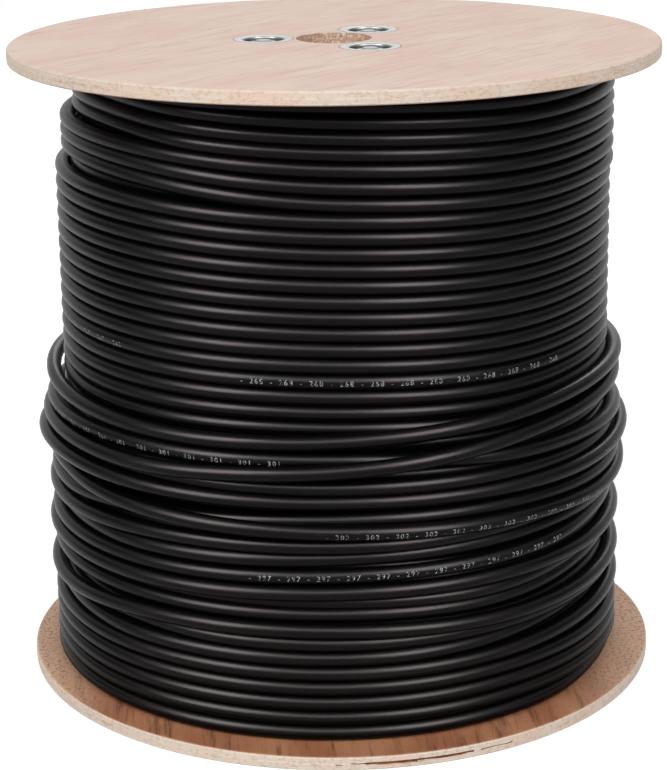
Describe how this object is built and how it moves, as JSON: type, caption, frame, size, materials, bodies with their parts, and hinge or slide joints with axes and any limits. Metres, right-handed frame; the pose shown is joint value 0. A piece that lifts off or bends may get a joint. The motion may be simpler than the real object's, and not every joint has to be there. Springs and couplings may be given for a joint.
{
  "type": "wooden cable drum",
  "caption": "Plywood cable drum standing on its flange, wound with round black cable; flanges, barrel, tie rods and cup washers around an arbor hole.",
  "frame": {"origin": "centre of the lower flange's underside, on the drum's axis", "axes": "+Z along the drum's axis, up from the lower flange to the upper one; one tie rod stands on -X"},
  "size_m": [0.3, 0.3, 0.2965],
  "materials": {
    "plywood": "matte",
    "paperboard": "matte",
    "cable_jacket": "satin",
    "zinc_steel": "satin"
  },
  "bodies": {
    "root": {"lower_flange": "plywood", "upper_flange": "plywood", "barrel": "paperboard", "cable_winding": "cable_jacket", "tie_rod_1": "zinc_steel", "tie_rod_2": "zinc_steel", "tie_rod_3": "zinc_steel", "lower_cup_1": "zinc_steel", "lower_cup_2": "zinc_steel", "lower_cup_3": "zinc_steel", "upper_cup_1": "zinc_steel", "upper_cup_2": "zinc_steel", "upper_cup_3": "zinc_steel", "lower_nut_1": "zinc_steel", "lower_nut_2": "zinc_steel", "lower_nut_3": "zinc_steel", "upper_nut_1": "zinc_steel", "upper_nut_2": "zinc_steel", "upper_nut_3": "zinc_steel"}
  },
  "joints": []
}
